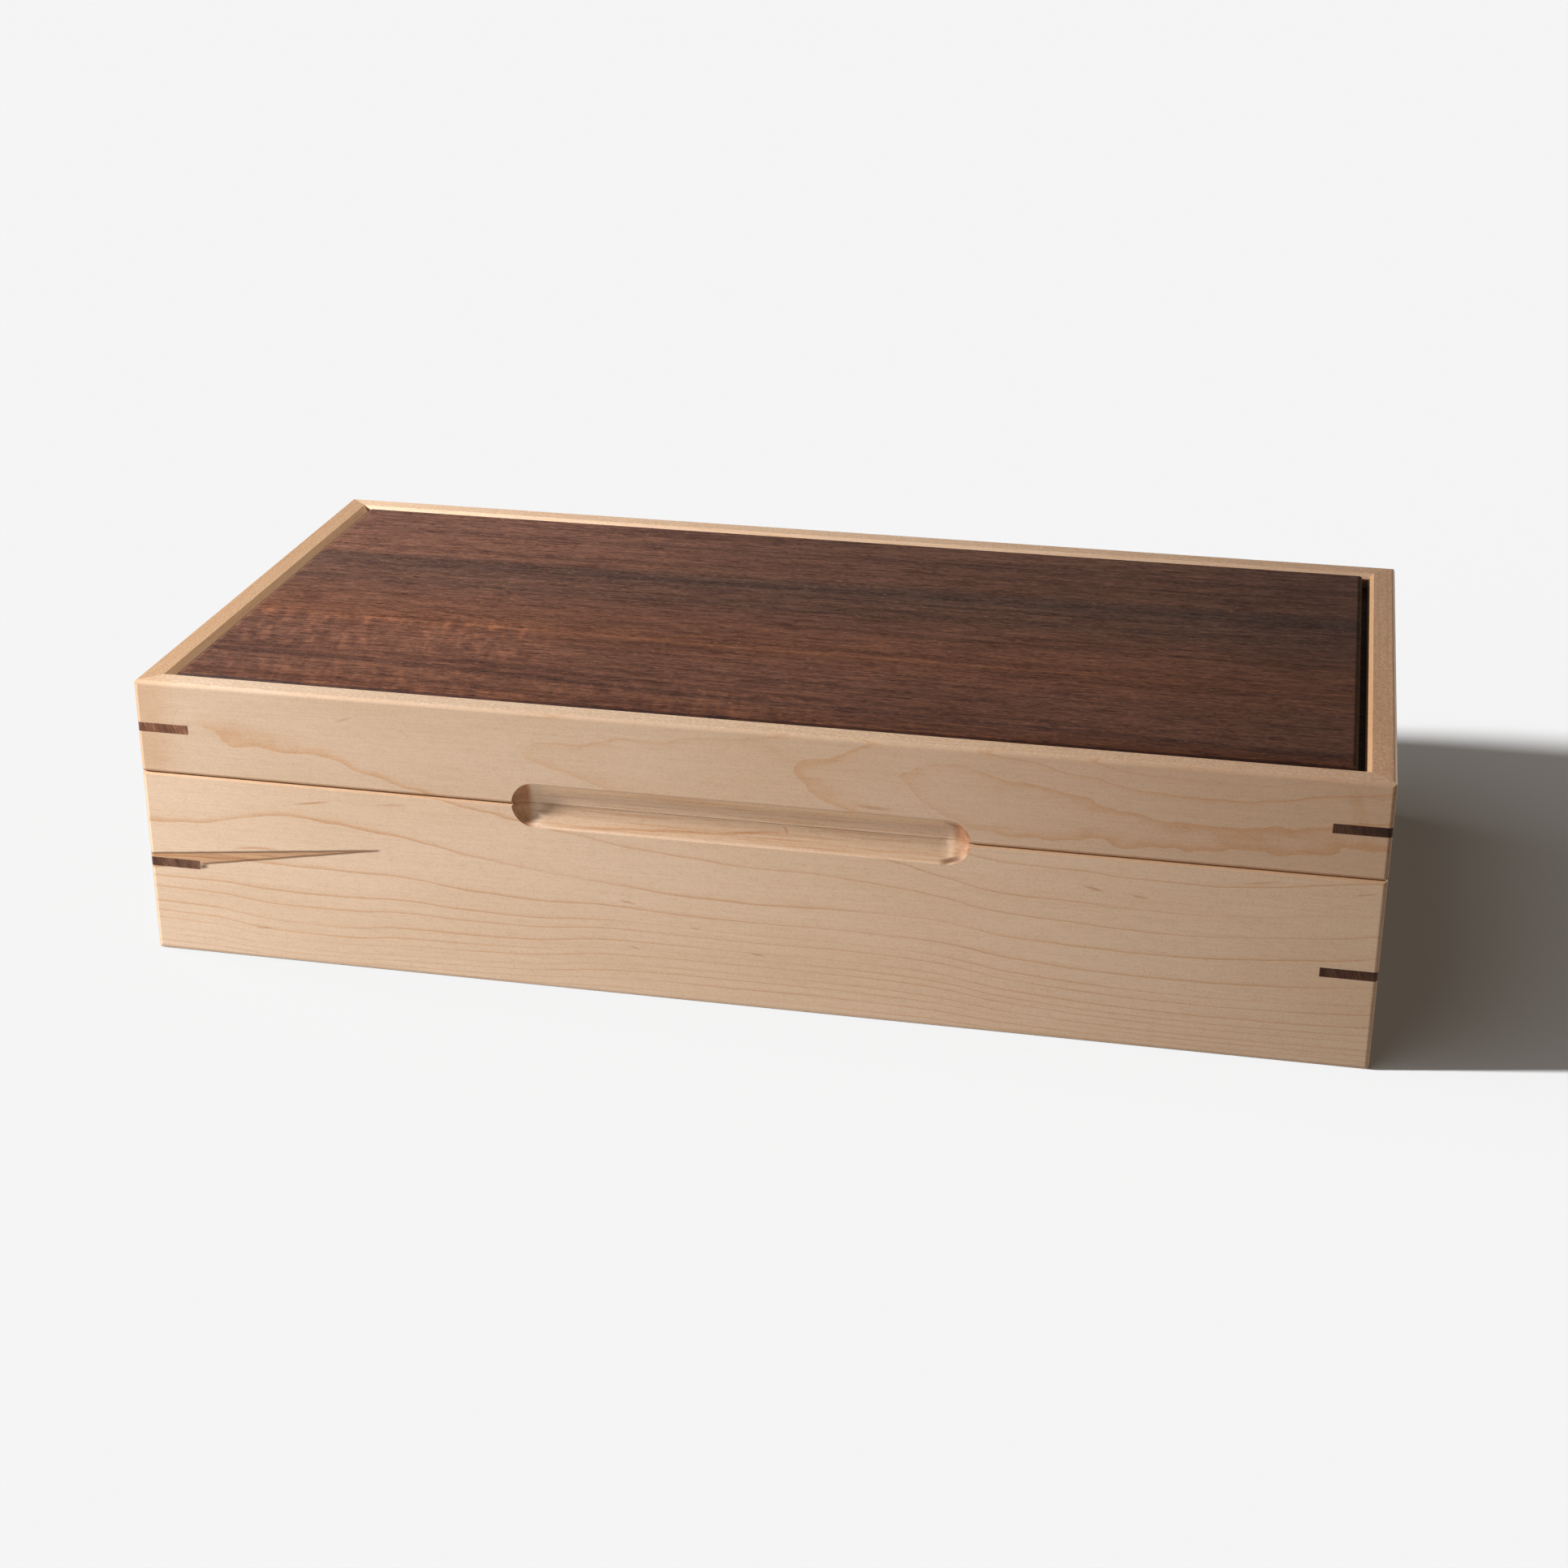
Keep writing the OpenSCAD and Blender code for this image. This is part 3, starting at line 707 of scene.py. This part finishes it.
def walnut_panel():
    """Figured walnut with brown bands, open pores and curl at its left front."""
    sh = Shader("walnut_panel")
    x, y, z = sh.axes(sh.position, MM)
    u, v, w = x - LEFT / MM, y - FRONT / MM, TOP_MM - z
    place = (u, v, w)
    wave = sh.noise(place, (70.0, 14.0, 6.0), 2.0, detail=2.0) - 0.5
    swing = sh.profile(u, BAND_SWING) * sh.profile(v, SWING_SHARE)
    across = v + swing + wave * 3.0 + w * 0.7
    colour = sh.colours(across / PANEL_SPAN_MM, PANEL_BANDS)

    # Soft bands that drift along the fibre, then the curl.
    drift = sh.noise((u, across, w), (160.0, 3.2, 3.0), 5.0, detail=3.0, rough=0.55)
    colour = sh.tint(colour, sh.ramp(drift, 0.42, 0.70), DRIFT_TINT)
    cloud = sh.noise(place, (45.0, 16.0, 6.0), 7.0, detail=2.0)
    colour = sh.tint(colour, sh.ramp(cloud, 0.42, 0.75), CLOUD_TINT)
    colour = walnut_curl(sh, colour, place)

    # Smudges along the fibre, the fibre itself, golden rays and the dark dashes of open pores.
    smudge = sh.noise(place, (13.0, 1.5, 2.0), 13.0, detail=3.0, rough=0.6)
    colour = sh.tint(colour, sh.ramp(smudge, 0.50, 0.66), SMUDGE_TINTS[0])
    colour = sh.tint(colour, sh.ramp(smudge, 0.50, 0.34), SMUDGE_TINTS[1])
    fibre = sh.noise(place, (7.5, 0.50, 0.6), 17.0, detail=4.0, rough=0.68)
    colour = sh.tint(colour, sh.ramp(fibre, 0.46, 0.64), FIBRE_TINTS[0])
    colour = sh.tint(colour, sh.ramp(fibre, 0.46, 0.28), FIBRE_TINTS[1])
    ray = sh.noise(place, (1.8, 0.36, 0.4), 23.0, detail=2.0)
    colour = sh.mix(sh.ramp(ray, 0.58, 0.72) * 0.55, colour, RAY_COLOUR)
    pores = sh.ramp(sh.noise(place, (2.3, 0.30, 0.3), 31.0, detail=1.0), 0.57, 0.68)
    colour = sh.tint(colour, pores * 0.85, PORE_TINT)
    colour = walnut_places(sh, colour, u, v)

    # The rounded rim is darker: oil-dark end grain at its ends, and painted shade where it drops
    # into the gap round the panel.
    upright = sh.axes(sh.normal)[2]
    colour = sh.tint(colour, sh.ramp(upright, 0.97, 0.70), RIM_OIL_AND_PAINTED_SHADE_TINT)

    normal = sh.bump(fibre * 0.5 - pores, PANEL_RELIEF, 0.4)
    roughness = sh.ramp(fibre, 0.25, 0.8, 0.46, 0.60)
    return sh.surface(colour, roughness, normal, Specular_IOR_Level=0.30)


def walnut_spline():
    """Walnut cut across its fibre: close dark streaks with a paler end."""
    sh = Shader("walnut_spline")
    x, y, z = sh.axes(sh.position, MM)
    place = (x + y * 0.9 + z * 0.35, x * 0.2 - y * 0.2, z)
    broad = sh.noise(place, (4.5, 6.0, 9.0), 3.0, detail=2.0)
    colour = sh.mix(sh.ramp(broad, 0.32, 0.68), SPLINE_DARK, SPLINE_PALE)
    streak = sh.noise(place, (0.45, 2.0, 3.0), 9.0, detail=3.0)
    colour = sh.tint(colour, sh.ramp(streak, 0.40, 0.70), SPLINE_STREAK_TINT)
    pore = sh.noise(place, (0.35, 0.35, 0.5), 15.0, detail=1.0)
    colour = sh.tint(colour, sh.ramp(pore, 0.62, 0.74), SPLINE_PORE_TINT)
    in_lid = sh.ramp(z, SEAM_MM - 1.0, SEAM_MM + 1.0)
    left_tone = sh.mix(in_lid, *LEFT_SPLINE_TINTS)
    right_tone = sh.mix(in_lid, *RIGHT_SPLINE_TINTS)
    colour = sh.tint(colour, 1.0, sh.mix(sh.ramp(x, -60.0, 60.0), left_tone, right_tone))
    normal = sh.bump(streak, SPLINE_RELIEF, 0.4)
    roughness = sh.ramp(streak, 0.3, 0.7, 0.48, 0.60)
    return sh.surface(colour, roughness, normal, Specular_IOR_Level=0.25)


# ---------------------------------------------------------------- hidden materials

PLY_MM = 1.33
VENEER_PALE = (0.66, 0.49, 0.33)
VENEER_DEEP = (0.58, 0.40, 0.25)
VENEER_LINE_TINT = (0.84, 0.74, 0.62)
VENEER_FIBRE_TINT = (0.90, 0.86, 0.82)
PLY_TINT = (0.62, 0.50, 0.42)
VENEER_RELIEF = 0.00006

BRASS_CLEAN = (0.78, 0.56, 0.25)
BRASS_DULL = (0.58, 0.38, 0.15)
BRUSH_TINT = (0.86, 0.84, 0.80)
LEAF_MARKS_MM = (6.0, 0.05, 0.05)
TURNED_MARKS_MM = (0.05, 2.5, 2.5)
BRUSH_RELIEF = 0.00003

FELT_PALE = (0.046, 0.066, 0.052)
FELT_DEEP = (0.034, 0.050, 0.040)
FELT_TANGLE = (0.120, 0.148, 0.122)
FELT_HAIR = (0.200, 0.225, 0.195)
NAP_TINTS = ((0.62, 0.64, 0.62), (1.50, 1.46, 1.46))
NAP_RELIEF = 0.00060


def plywood_face():
    """Rotary-cut pale veneer for the floor panel, with its plies along the edges."""
    sh = Shader("floor_plywood")
    place = sh.axes(sh.position, MM)
    x, y, z = place
    loops = sh.noise((x, y, 0.0), (140.0, 34.0, 1.0), 4.0, detail=2.0) * 9.0
    line = sh.ramp(sh.math("FRACT", loops), 0.0, 0.30, 1.0, 0.0)
    colour = sh.mix(sh.noise(place, (60.0, 30.0, 4.0), 6.0), VENEER_PALE, VENEER_DEEP)
    colour = sh.tint(colour, line * 0.8, VENEER_LINE_TINT)
    fibre = sh.noise(place, (18.0, 0.6, 0.6), 8.0, detail=4.0, rough=0.6)
    colour = sh.tint(colour, sh.ramp(fibre, 0.35, 0.72), VENEER_FIBRE_TINT)
    from_middle = sh.math("ABSOLUTE", sh.math("FRACT", z / PLY_MM) - 0.5)
    upright = sh.math("ABSOLUTE", sh.axes(sh.normal)[2])
    plies = sh.ramp(from_middle, 0.34, 0.44) * sh.ramp(upright, 0.5, 0.2)
    colour = sh.tint(colour, plies, PLY_TINT)
    normal = sh.bump(fibre, VENEER_RELIEF, 0.4)
    roughness = sh.ramp(fibre, 0.2, 0.8, 0.50, 0.62)
    return sh.surface(colour, roughness, normal, Specular_IOR_Level=0.3)


def brushed_brass(name, marks_size):
    """Satin brass with brush marks of the given size in mm and a little tarnish."""
    sh = Shader(name)
    place = sh.axes(sh.position, MM)
    marks = sh.noise(place, marks_size, 5.0, detail=3.0, rough=0.65)
    tarnish = sh.noise(place, (5.0, 5.0, 5.0), 12.0, detail=4.0, rough=0.6)
    colour = sh.mix(sh.ramp(tarnish, 0.35, 0.75), BRASS_CLEAN, BRASS_DULL)
    colour = sh.tint(colour, sh.ramp(marks, 0.45, 0.75), BRUSH_TINT)
    roughness = sh.ramp(marks + tarnish * 0.5, 0.5, 1.1, 0.24, 0.46)
    normal = sh.bump(marks, BRUSH_RELIEF, 0.5)
    return sh.surface(colour, roughness, normal, Metallic=1.0)


def wool_felt():
    """Matted grey-green wool felt: tangled fibres and a soft nap."""
    sh = Shader("lining_felt")
    place = sh.axes(sh.position, MM)
    tangle = sh.noise(place, (0.55, 0.55, 0.55), 3.0, detail=5.0, rough=0.7, distort=1.6)
    cloud = sh.noise(place, (26.0, 19.0, 9.0), 8.0, detail=3.0)
    colour = sh.mix(sh.ramp(cloud, 0.3, 0.7), FELT_PALE, FELT_DEEP)
    colour = sh.mix(sh.ramp(tangle, 0.46, 0.74) * 0.8, colour, FELT_TANGLE)
    nap = sh.noise(place, (3.6, 2.6, 2.6), 11.0, detail=5.0, rough=0.72, distort=1.2)
    colour = sh.tint(colour, sh.ramp(nap, 0.52, 0.68), NAP_TINTS[0])
    colour = sh.tint(colour, sh.ramp(nap, 0.48, 0.34), NAP_TINTS[1])
    hair = sh.noise(place, (0.16, 2.2, 0.5), 14.0, detail=2.0, distort=2.5)
    colour = sh.mix(sh.ramp(hair, 0.66, 0.76) * 0.5, colour, FELT_HAIR)
    normal = sh.bump(tangle * 0.6 + nap, NAP_RELIEF, 0.8)
    roughness = sh.ramp(tangle, 0.2, 0.8, 0.88, 0.98)
    return sh.surface(
        colour, roughness, normal, Sheen_Weight=0.18, Sheen_Roughness=0.60, Specular_IOR_Level=0.10
    )


# ---------------------------------------------------------------- pieces

# The felt sheet: its mesh cells along x and y, how far its cut edge sinks, and its unevenness.
FELT_CELLS = (116, 56)
FELT_EDGE_DROP = 0.45 * MM
FELT_UNEVENNESS = 0.14 * MM
FELT_SWELLS_PER_METRE = 55.0


def dress(name, material):
    """Gives a CAD node its material."""
    piece = nodes[name]
    piece.data.materials.clear()
    piece.data.materials.append(material)


def felt_height(x, y, top, at_edge):
    """The height of the felt's upper face at that place."""
    swell = noise.noise(Vector((x * FELT_SWELLS_PER_METRE, y * FELT_SWELLS_PER_METRE, 0.4)))
    z = top - FELT_UNEVENNESS * (0.5 + 0.5 * swell)
    return z - FELT_EDGE_DROP if at_edge else z


def felt_sheet(name):
    """The felt lining as one cut sheet: a faintly uneven face and soft edges."""
    low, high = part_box("base_lining")
    across, along = FELT_CELLS
    mesh = bpy.data.meshes.new(name)
    bm = bmesh.new()
    rows = {}
    for face in ("top", "bottom"):
        for i in range(across + 1):
            for j in range(along + 1):
                x = low[0] + (high[0] - low[0]) * i / across
                y = low[1] + (high[1] - low[1]) * j / along
                at_edge = i in (0, across) or j in (0, along)
                z = felt_height(x, y, high[2], at_edge) if face == "top" else low[2]
                rows[face, i, j] = bm.verts.new((x, y, z))
    for i in range(across):
        for j in range(along):
            corner = ((i, j), (i + 1, j), (i + 1, j + 1), (i, j + 1))
            bm.faces.new([rows["top", a, b] for a, b in corner])
            bm.faces.new([rows["bottom", a, b] for a, b in reversed(corner)])
    rim = [(i, 0) for i in range(across)] + [(across, j) for j in range(along)]
    rim += [(i, along) for i in range(across, 0, -1)] + [(0, j) for j in range(along, 0, -1)]
    for here, after in zip(rim, rim[1:] + rim[:1]):
        bm.faces.new(
            (rows["bottom", *here], rows["bottom", *after], rows["top", *after], rows["top", *here])
        )
    bmesh.ops.recalc_face_normals(bm, faces=bm.faces)
    bm.to_mesh(mesh)
    bm.free()
    mesh.polygons.foreach_set("use_smooth", [True] * len(mesh.polygons))
    piece = bpy.data.objects.new(name, mesh)
    bpy.context.scene.collection.objects.link(piece)
    return piece


SEEDS = {"front": 0.0, "right": 41.0, "back": 67.0, "left": 93.0}
for side in SIDES:
    wood = maple(f"maple_{side}", side, SEEDS[side])
    dress(f"base_{side}_wall", wood)
    dress(f"lid_{side}_rail", wood)

spline_wood = walnut_spline()
for corner in CORNERS:
    dress(f"base_spline_{corner}", spline_wood)
    dress(f"lid_spline_{corner}", spline_wood)

dress("lid_panel", walnut_panel())
dress("base_floor_panel", plywood_face())

leaf_brass = brushed_brass("brass_leaf", LEAF_MARKS_MM)
turned_brass = brushed_brass("brass_turned", TURNED_MARKS_MM)
for hand in ("left", "right"):
    dress(f"hinge_{hand}_base_leaf", leaf_brass)
    dress(f"hinge_{hand}_lid_leaf", leaf_brass)
    dress(f"hinge_{hand}_pin", turned_brass)
dress("base_leaf_screws", turned_brass)
dress("lid_leaf_screws", turned_brass)

felt = felt_sheet("felt_lining")
felt.data.materials.append(wool_felt())
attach(felt, "base")
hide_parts("base_lining")


# ---------------------------------------------------------------- stage and light

# The table and what is behind it, as the camera sees them.
PAPER = 0.913
PAPER_ALBEDO = 0.05
SHADOW_GLOW = (0.072, 0.058, 0.045)
STAGE_RADIUS = 6.0
BACKDROP_SHARE = 0.98

# Light that the table throws back up: its strength at the left and right, and where it changes.
BOUNCE_LEFT = 0.92
BOUNCE_RIGHT = 0.20
BOUNCE_COLOUR = (1.0, 0.95, 0.90)
BOUNCE_CHANGE = (-0.12, 0.34)
BOUNCE_HALF_SIZE = 3.0
BOUNCE_DROP = 0.002

AMBIENT = 0.10
AMBIENT_COLOUR = (1.0, 0.91, 0.80)

# Two suns cast the box's shadow on the table: a narrow one, and a wide one for its soft halo.
KEY_AZIMUTH = 11.2
KEY_ELEVATION = 12.5
KEY_SPREAD = math.radians(3.2)
SOFT_SHARE = 0.11
SOFT_AZIMUTH = 25.0
SOFT_ELEVATION = 38.0
SOFT_SPREAD = math.radians(75.0)

# Lamps that light the box: one near it at the left, one for its left side, a fill for its back.
KEY_PLACE = (-0.690, -0.190, 0.320)
KEY_POWER = 52.0
KEY_COLOUR = (1.0, 0.99, 0.97)
KEY_RADIUS = 0.035
SIDE_PLACE = (-0.55, -0.25, 0.75)
SIDE_POWER = 34.0
SIDE_COLOUR = (1.0, 0.97, 0.92)
BACK_FILL = 1.3
BACK_COLOUR = (1.0, 0.97, 0.93)
BACK_AZIMUTH = 225.0
BACK_ELEVATION = 14.0
BACK_SPREAD = math.radians(40.0)


def glow(name, colour, strength):
    """A material that only shines."""
    sh = Shader(name)
    shine = sh.node("ShaderNodeEmission", {0: (*colour, 1.0), 1: strength})
    return sh.finish(shine)


def stage_object(name, bm, material, seen_by):
    """A stage mesh that only the named kinds of ray see."""
    mesh = bpy.data.meshes.new(name)
    bm.to_mesh(mesh)
    bm.free()
    mesh.materials.append(material)
    thing = bpy.data.objects.new(name, mesh)
    bpy.context.scene.collection.objects.link(thing)
    thing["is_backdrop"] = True
    for kind in ("camera", "diffuse", "glossy", "transmission", "volume_scatter", "shadow"):
        setattr(thing, f"visible_{kind}", kind in seen_by)
    return thing


def paper_floor():
    """The pale sheet that the camera sees. Its own glow is what is left in the shadow."""
    sh = Shader("paper")
    matt = sh.node("ShaderNodeBsdfDiffuse", {0: (PAPER_ALBEDO, PAPER_ALBEDO, PAPER_ALBEDO, 1.0)})
    shine = sh.node("ShaderNodeEmission", {0: (*SHADOW_GLOW, 1.0)})
    both = sh.node("ShaderNodeAddShader", {0: matt.outputs[0], 1: shine.outputs[0]})
    material = sh.finish(both)
    bm = bmesh.new()
    bmesh.ops.create_circle(bm, cap_ends=True, segments=96, radius=STAGE_RADIUS)
    return stage_object("stage_floor", bm, material, ("camera",))


def backdrop():
    """A white sphere round everything, as bright as the lit table."""
    bm = bmesh.new()
    bmesh.ops.create_icosphere(bm, subdivisions=4, radius=STAGE_RADIUS * BACKDROP_SHARE)
    return stage_object("stage_backdrop", bm, glow("backdrop", (1.0, 1.0, 1.0), PAPER), ("camera",))


def bounce_card():
    """Light thrown back up by the table, stronger on the lamp's side."""
    sh = Shader("table_bounce")
    x = sh.axes(sh.position)[0]
    amount = sh.ramp(x, *BOUNCE_CHANGE) * (BOUNCE_RIGHT - BOUNCE_LEFT) + BOUNCE_LEFT
    shine = sh.node("ShaderNodeEmission", {0: (*BOUNCE_COLOUR, 1.0), 1: amount})
    material = sh.finish(shine)
    bm = bmesh.new()
    bmesh.ops.create_grid(bm, x_segments=2, y_segments=2, size=BOUNCE_HALF_SIZE)
    bmesh.ops.translate(bm, verts=bm.verts, vec=(0.0, 0.0, -BOUNCE_DROP))
    return stage_object("stage_bounce", bm, material, ("diffuse", "glossy"))


def lamp(name, kind, energy, colour, location, receivers, **props):
    """A lamp that lights only its receivers."""
    data = bpy.data.lights.new(name, kind)
    data.energy = energy
    data.color = colour
    for key, value in props.items():
        setattr(data, key, value)
    thing = bpy.data.objects.new(name, data)
    thing.location = location
    bpy.context.scene.collection.objects.link(thing)
    group = bpy.data.collections.new(f"{name}_receivers")
    for piece in receivers:
        group.objects.link(piece)
    thing.light_linking.receiver_collection = group
    return thing


def sun_lamp(name, energy, colour, receivers, azimuth, elevation, spread):
    """A sun whose light comes down at that elevation, its azimuth measured from +X to +Y."""
    sun = lamp(name, "SUN", energy, colour, (0, 0, 1), receivers, angle=spread)
    a, e = math.radians(azimuth), math.radians(elevation)
    travel = Vector((math.cos(a) * math.cos(e), math.sin(a) * math.cos(e), -math.sin(e)))
    sun.rotation_mode = "QUATERNION"
    sun.rotation_quaternion = travel.to_track_quat("-Z", "Y")


def strength_on_paper(elevation):
    """The strength at which a sun makes the paper as bright as white."""
    return math.pi / (PAPER_ALBEDO * math.sin(math.radians(elevation)))


floor = paper_floor()
backdrop()
bounce_card()

parts = ("base", "lid")
left_names = ["base_left_wall", "lid_left_rail"]
left_names += [f"{part}_spline_{end}_left" for part in parts for end in ("front", "back")]
left_pieces = [nodes[n] for n in left_names]
box_pieces = [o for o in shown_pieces() if o not in left_pieces]
back_names = ["base_back_wall", "base_right_wall", "lid_back_rail", "lid_right_rail"]
back_names += [
    f"{part}_spline_{corner}" for part in parts for corner in CORNERS if corner != "front_left"
]
back_names += [n for n in nodes if n.startswith("hinge") or n.endswith("screws")]
back_pieces = [nodes[n] for n in back_names]

sun_lamp("shadow_soft", SOFT_SHARE * strength_on_paper(SOFT_ELEVATION), (1, 1, 1), [floor],
         SOFT_AZIMUTH, SOFT_ELEVATION, SOFT_SPREAD)
# The narrow sun gives the paper what the other lights leave open.
key_shares = [
    PAPER - SOFT_SHARE - glow_share - PAPER_ALBEDO * AMBIENT * air_share
    for glow_share, air_share in zip(SHADOW_GLOW, AMBIENT_COLOUR)
]
sun_lamp("shadow_key", strength_on_paper(KEY_ELEVATION), key_shares, [floor],
         KEY_AZIMUTH, KEY_ELEVATION, KEY_SPREAD)
lamp("key", "POINT", KEY_POWER, KEY_COLOUR, KEY_PLACE, box_pieces, shadow_soft_size=KEY_RADIUS)
lamp("key_side", "POINT", SIDE_POWER, SIDE_COLOUR, SIDE_PLACE, left_pieces,
     shadow_soft_size=KEY_RADIUS)
sun_lamp("back_fill", BACK_FILL, BACK_COLOUR, back_pieces,
         BACK_AZIMUTH, BACK_ELEVATION, BACK_SPREAD)

world = bpy.data.worlds.new("studio")
world.use_nodes = True
bpy.context.scene.world = world
air = world.node_tree.nodes["Background"]
air.inputs[0].default_value = (*AMBIENT_COLOUR, 1.0)
air.inputs[1].default_value = AMBIENT


# ---------------------------------------------------------------- camera

SENSOR_MM = 36.0
LENS_MM = 60.68
CLIP_START, CLIP_END = 0.01, 100.0
EYE = (0.12740, -0.64197, 0.30827)
# Degrees: turned left of +Y, looking down, and rolled.
AZIMUTH, ELEVATION, ROLL = 11.64, 23.30, 0.236


def place_camera():
    """The camera, in front of the box and a little to its right."""
    data = bpy.data.cameras.new("camera")
    data.sensor_width = SENSOR_MM
    data.lens = LENS_MM
    data.clip_start = CLIP_START
    data.clip_end = CLIP_END
    eye = bpy.data.objects.new("camera", data)
    a, e = math.radians(AZIMUTH), math.radians(ELEVATION)
    look = Vector((-math.sin(a) * math.cos(e), math.cos(a) * math.cos(e), -math.sin(e)))
    turn = look.to_track_quat("-Z", "Y").to_matrix().to_4x4()
    roll = Matrix.Rotation(math.radians(ROLL), 4, "Z")
    eye.matrix_world = Matrix.Translation(EYE) @ turn @ roll
    bpy.context.scene.collection.objects.link(eye)
    bpy.context.scene.camera = eye


place_camera()

scene = bpy.context.scene
scene.view_settings.view_transform = "Standard"
scene.view_settings.look = "None"
